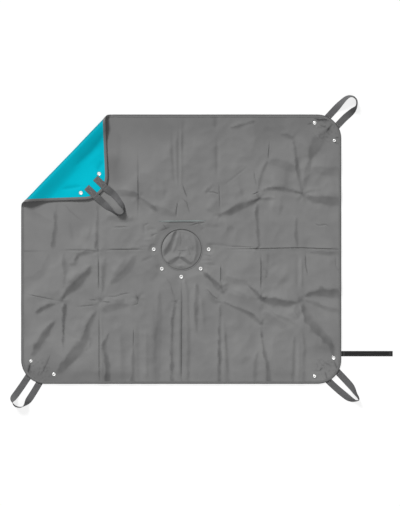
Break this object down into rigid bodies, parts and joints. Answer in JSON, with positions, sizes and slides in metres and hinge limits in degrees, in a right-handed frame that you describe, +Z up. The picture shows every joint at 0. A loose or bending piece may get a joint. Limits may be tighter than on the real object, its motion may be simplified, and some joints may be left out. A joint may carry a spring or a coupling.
{
  "type": "repotting mat",
  "caption": "Soft two-sided repotting mat with folding corners, webbing loop handles, snaps, a closure strap and a round soil hatch in the middle.",
  "frame": {"origin": "on the floor under the middle of the hatch hole, which is the flat mat's middle", "axes": "+Z up out of the grey face, +Y towards the top edge, +X towards the edge with the closure strap"},
  "size_m": [1.4356, 1.1696, 0.029],
  "materials": {
    "face_cloth": "matt coated weave",
    "lining_cloth": "smooth coated weave",
    "binding_tape": "woven tape",
    "webbing": "woven webbing",
    "hook_and_loop": "napped tape",
    "snap_metal": "nickel plated"
  },
  "bodies": {
    "mat": {"edge_binding_bottom": "binding_tape", "edge_binding_left": "binding_tape", "edge_binding_right": "binding_tape", "edge_binding_top": "binding_tape", "fold_roll_face": "face_cloth", "fold_roll_lining": "lining_cloth", "hatch_seam_allowance": "face_cloth", "hatch_snap_1_cap": "snap_metal", "hatch_snap_2_cap": "snap_metal", "hatch_snap_3_cap": "snap_metal", "hatch_snap_4_cap": "snap_metal", "hatch_snap_5_cap": "snap_metal", "hole_binding": "binding_tape", "main_face": "face_cloth", "main_lining": "lining_cloth"},
    "corner_top_left": {"corner_top_left_binding": "binding_tape", "corner_top_left_face": "face_cloth", "corner_top_left_lining": "lining_cloth", "corner_top_left_snap_socket": "snap_metal", "corner_top_left_snap_stud": "snap_metal", "handle_top_left_tail_1": "webbing", "handle_top_left_tail_2": "webbing"},
    "corner_top_right": {"corner_top_right_binding": "binding_tape", "corner_top_right_face": "face_cloth", "corner_top_right_lining": "lining_cloth", "corner_top_right_snap_socket": "snap_metal", "corner_top_right_snap_stud": "snap_metal", "handle_top_right_tail_1": "webbing", "handle_top_right_tail_2": "webbing"},
    "corner_bottom_right": {"closure_strap_tail": "hook_and_loop", "corner_bottom_right_binding": "binding_tape", "corner_bottom_right_face": "face_cloth", "corner_bottom_right_lining": "lining_cloth", "corner_bottom_right_snap_socket": "snap_metal", "corner_bottom_right_snap_stud": "snap_metal", "handle_bottom_right_tail_1": "webbing", "handle_bottom_right_tail_2": "webbing"},
    "corner_bottom_left": {"corner_bottom_left_binding": "binding_tape", "corner_bottom_left_face": "face_cloth", "corner_bottom_left_lining": "lining_cloth", "corner_bottom_left_snap_socket": "snap_metal", "corner_bottom_left_snap_stud": "snap_metal", "handle_bottom_left_tail_1": "webbing", "handle_bottom_left_tail_2": "webbing"},
    "handle_top_left": {"handle_top_left_loop": "webbing"},
    "handle_top_right": {"handle_top_right_loop": "webbing"},
    "handle_bottom_right": {"handle_bottom_right_loop": "webbing"},
    "handle_bottom_left": {"handle_bottom_left_loop": "webbing"},
    "hatch": {"hatch_binding": "binding_tape", "hatch_flap": "face_cloth", "hatch_snap_1_stud": "snap_metal", "hatch_snap_2_stud": "snap_metal", "hatch_snap_3_stud": "snap_metal", "hatch_snap_4_stud": "snap_metal", "hatch_snap_5_stud": "snap_metal"},
    "closure_strap": {"closure_strap": "hook_and_loop"}
  },
  "joints": [
    {"name": "corner_top_left_fold", "type": "hinge", "parent": "mat", "child": "corner_top_left", "pos_m": [-0.442, 0.34075, 0.01505], "axis": [0.6933, 0.7207, 0], "range_deg": [-185.57, 0], "deforming": ["fold_roll_face", "fold_roll_lining"]},
    {"name": "corner_top_right_fold", "type": "hinge", "parent": "mat", "child": "corner_top_right", "pos_m": [0.439, 0.344, 0.01505], "axis": [0.7071, -0.7071, 0], "range_deg": [0, 178]},
    {"name": "corner_bottom_right_fold", "type": "hinge", "parent": "mat", "child": "corner_bottom_right", "pos_m": [0.439, -0.344, 0.01505], "axis": [-0.7071, -0.7071, 0], "range_deg": [0, 178]},
    {"name": "corner_bottom_left_fold", "type": "hinge", "parent": "mat", "child": "corner_bottom_left", "pos_m": [-0.439, -0.344, 0.01505], "axis": [-0.7071, 0.7071, 0], "range_deg": [0, 178]},
    {"name": "handle_top_left_swing", "type": "hinge", "parent": "corner_top_left", "child": "handle_top_left", "pos_m": [-0.29808, 0.21139, 0.01065], "axis": [-0.6919, -0.722, -0.0002], "range_deg": [0, 120]},
    {"name": "handle_top_right_swing", "type": "hinge", "parent": "corner_top_right", "child": "handle_top_right", "pos_m": [0.57185, 0.48369, 0.00065], "axis": [-0.7431, 0.6691, 0], "range_deg": [-110, 120]},
    {"name": "handle_bottom_right_swing", "type": "hinge", "parent": "corner_bottom_right", "child": "handle_bottom_right", "pos_m": [0.57421, -0.48149, 0.00065], "axis": [0.7193, 0.6947, 0], "range_deg": [-110, 120]},
    {"name": "handle_bottom_left_swing", "type": "hinge", "parent": "corner_bottom_left", "child": "handle_bottom_left", "pos_m": [-0.55622, -0.49505, 0.00065], "axis": [0.866, -0.5, 0], "range_deg": [-110, 120]},
    {"name": "hatch_hinge", "type": "hinge", "parent": "mat", "child": "hatch", "pos_m": [0, 0.09895, 0.00105], "axis": [1, 0, 0], "range_deg": [0, 150]},
    {"name": "closure_strap_swing", "type": "hinge", "parent": "corner_bottom_right", "child": "closure_strap", "pos_m": [0.60232, -0.392, 0.0007], "axis": [0, 1, 0], "range_deg": [-110, 120]}
  ]
}
